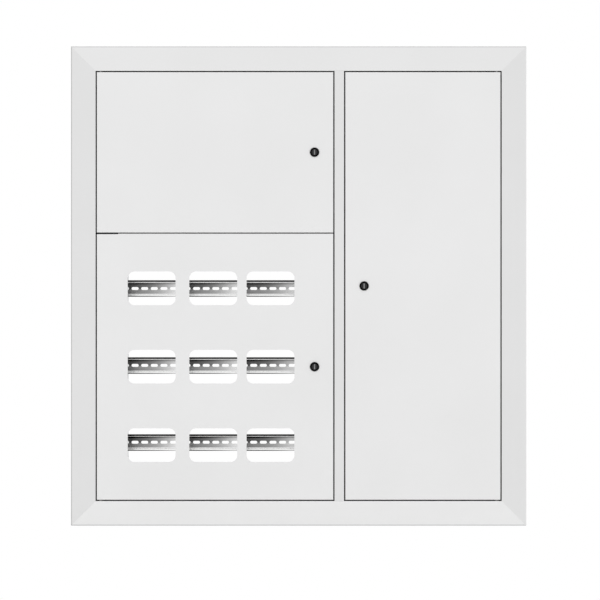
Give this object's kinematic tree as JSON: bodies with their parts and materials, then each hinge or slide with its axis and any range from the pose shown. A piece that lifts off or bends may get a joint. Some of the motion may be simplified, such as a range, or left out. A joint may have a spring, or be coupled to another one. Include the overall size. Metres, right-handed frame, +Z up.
{
  "type": "floor distribution board",
  "caption": "Recessed light grey distribution board with a bevelled border, hinged meter, breaker and signal doors, cam locks, and slotted rails behind rounded windows.",
  "frame": {"origin": "centre of the four niche fixing holes on the rear plane", "axes": "+Z up, +Y towards the wall behind, so the doors face -Y, and +X to the right seen from the front"},
  "size_m": [0.95, 0.1525, 1],
  "materials": {
    "powder_coat": "fine satin powder coat, light grey",
    "galvanised_steel": "galvanised sheet",
    "black_plastic": "satin black",
    "zinc_plate": "zinc plated",
    "brass": "drawn brass bar",
    "insulator": "moulded"
  },
  "bodies": {
    "enclosure": {"border_bottom": "powder_coat", "border_left": "powder_coat", "border_right": "powder_coat", "border_top": "powder_coat", "divider_shelf": "powder_coat", "earth_bar": "brass", "earth_bar_supports": "zinc_plate", "hinge_bracket": "zinc_plate", "hinge_pins": "zinc_plate", "meter_panel": "galvanised_steel", "meter_upright_left": "galvanised_steel", "meter_upright_right": "galvanised_steel", "mullion": "powder_coat", "neutral_bar": "brass", "neutral_bar_supports": "insulator", "partition": "powder_coat", "rail_r1_c1": "galvanised_steel", "rail_r1_c2": "galvanised_steel", "rail_r1_c3": "galvanised_steel", "rail_r2_c1": "galvanised_steel", "rail_r2_c2": "galvanised_steel", "rail_r2_c3": "galvanised_steel", "rail_r3_c1": "galvanised_steel", "rail_r3_c2": "galvanised_steel", "rail_r3_c3": "galvanised_steel", "rail_upright_1": "galvanised_steel", "rail_upright_2": "galvanised_steel", "rail_upright_3": "galvanised_steel", "rail_upright_4": "galvanised_steel", "wall_bottom": "powder_coat", "wall_left": "powder_coat", "wall_right": "powder_coat", "wall_top": "powder_coat"},
    "meter_door": {"meter_door": "powder_coat", "meter_pivot_plates": "zinc_plate", "meter_lock_housing": "black_plastic", "meter_lock_clip": "zinc_plate"},
    "meter_lock": {"meter_lock_plug": "black_plastic", "meter_lock_cam": "zinc_plate", "meter_lock_cam_screw": "zinc_plate"},
    "breaker_door": {"breaker_door": "powder_coat", "breaker_pivot_plates": "zinc_plate", "breaker_lock_housing": "black_plastic", "breaker_lock_clip": "zinc_plate"},
    "breaker_lock": {"breaker_lock_plug": "black_plastic", "breaker_lock_cam": "zinc_plate", "breaker_lock_cam_screw": "zinc_plate"},
    "signal_door": {"signal_door": "powder_coat", "signal_pivot_plates": "zinc_plate", "signal_lock_housing": "black_plastic", "signal_lock_clip": "zinc_plate"},
    "signal_lock": {"signal_lock_plug": "black_plastic", "signal_lock_cam": "zinc_plate", "signal_lock_cam_screw": "zinc_plate"}
  },
  "joints": [
    {"name": "meter_door_hinge", "type": "hinge", "parent": "enclosure", "child": "meter_door", "pos_m": [-0.412, -0.144, 0], "axis": [0, 0, -1], "range_deg": [0, 110]},
    {"name": "meter_lock_turn", "type": "hinge", "parent": "meter_door", "child": "meter_lock", "pos_m": [0.033, -0.14, 0.27775], "axis": [0, -1, 0], "range_deg": [0, 90]},
    {"name": "breaker_door_hinge", "type": "hinge", "parent": "enclosure", "child": "breaker_door", "pos_m": [-0.412, -0.144, 0], "axis": [0, 0, -1], "range_deg": [0, 110]},
    {"name": "breaker_lock_turn", "type": "hinge", "parent": "breaker_door", "child": "breaker_lock", "pos_m": [0.033, -0.14, -0.16785], "axis": [0, -1, 0], "range_deg": [0, 90]},
    {"name": "signal_door_hinge", "type": "hinge", "parent": "enclosure", "child": "signal_door", "pos_m": [0.412, -0.144, 0], "axis": [0, 0, 1], "range_deg": [0, 110]},
    {"name": "signal_lock_turn", "type": "hinge", "parent": "signal_door", "child": "signal_lock", "pos_m": [0.136, -0.14, 0], "axis": [0, 1, 0], "range_deg": [0, 90]}
  ]
}
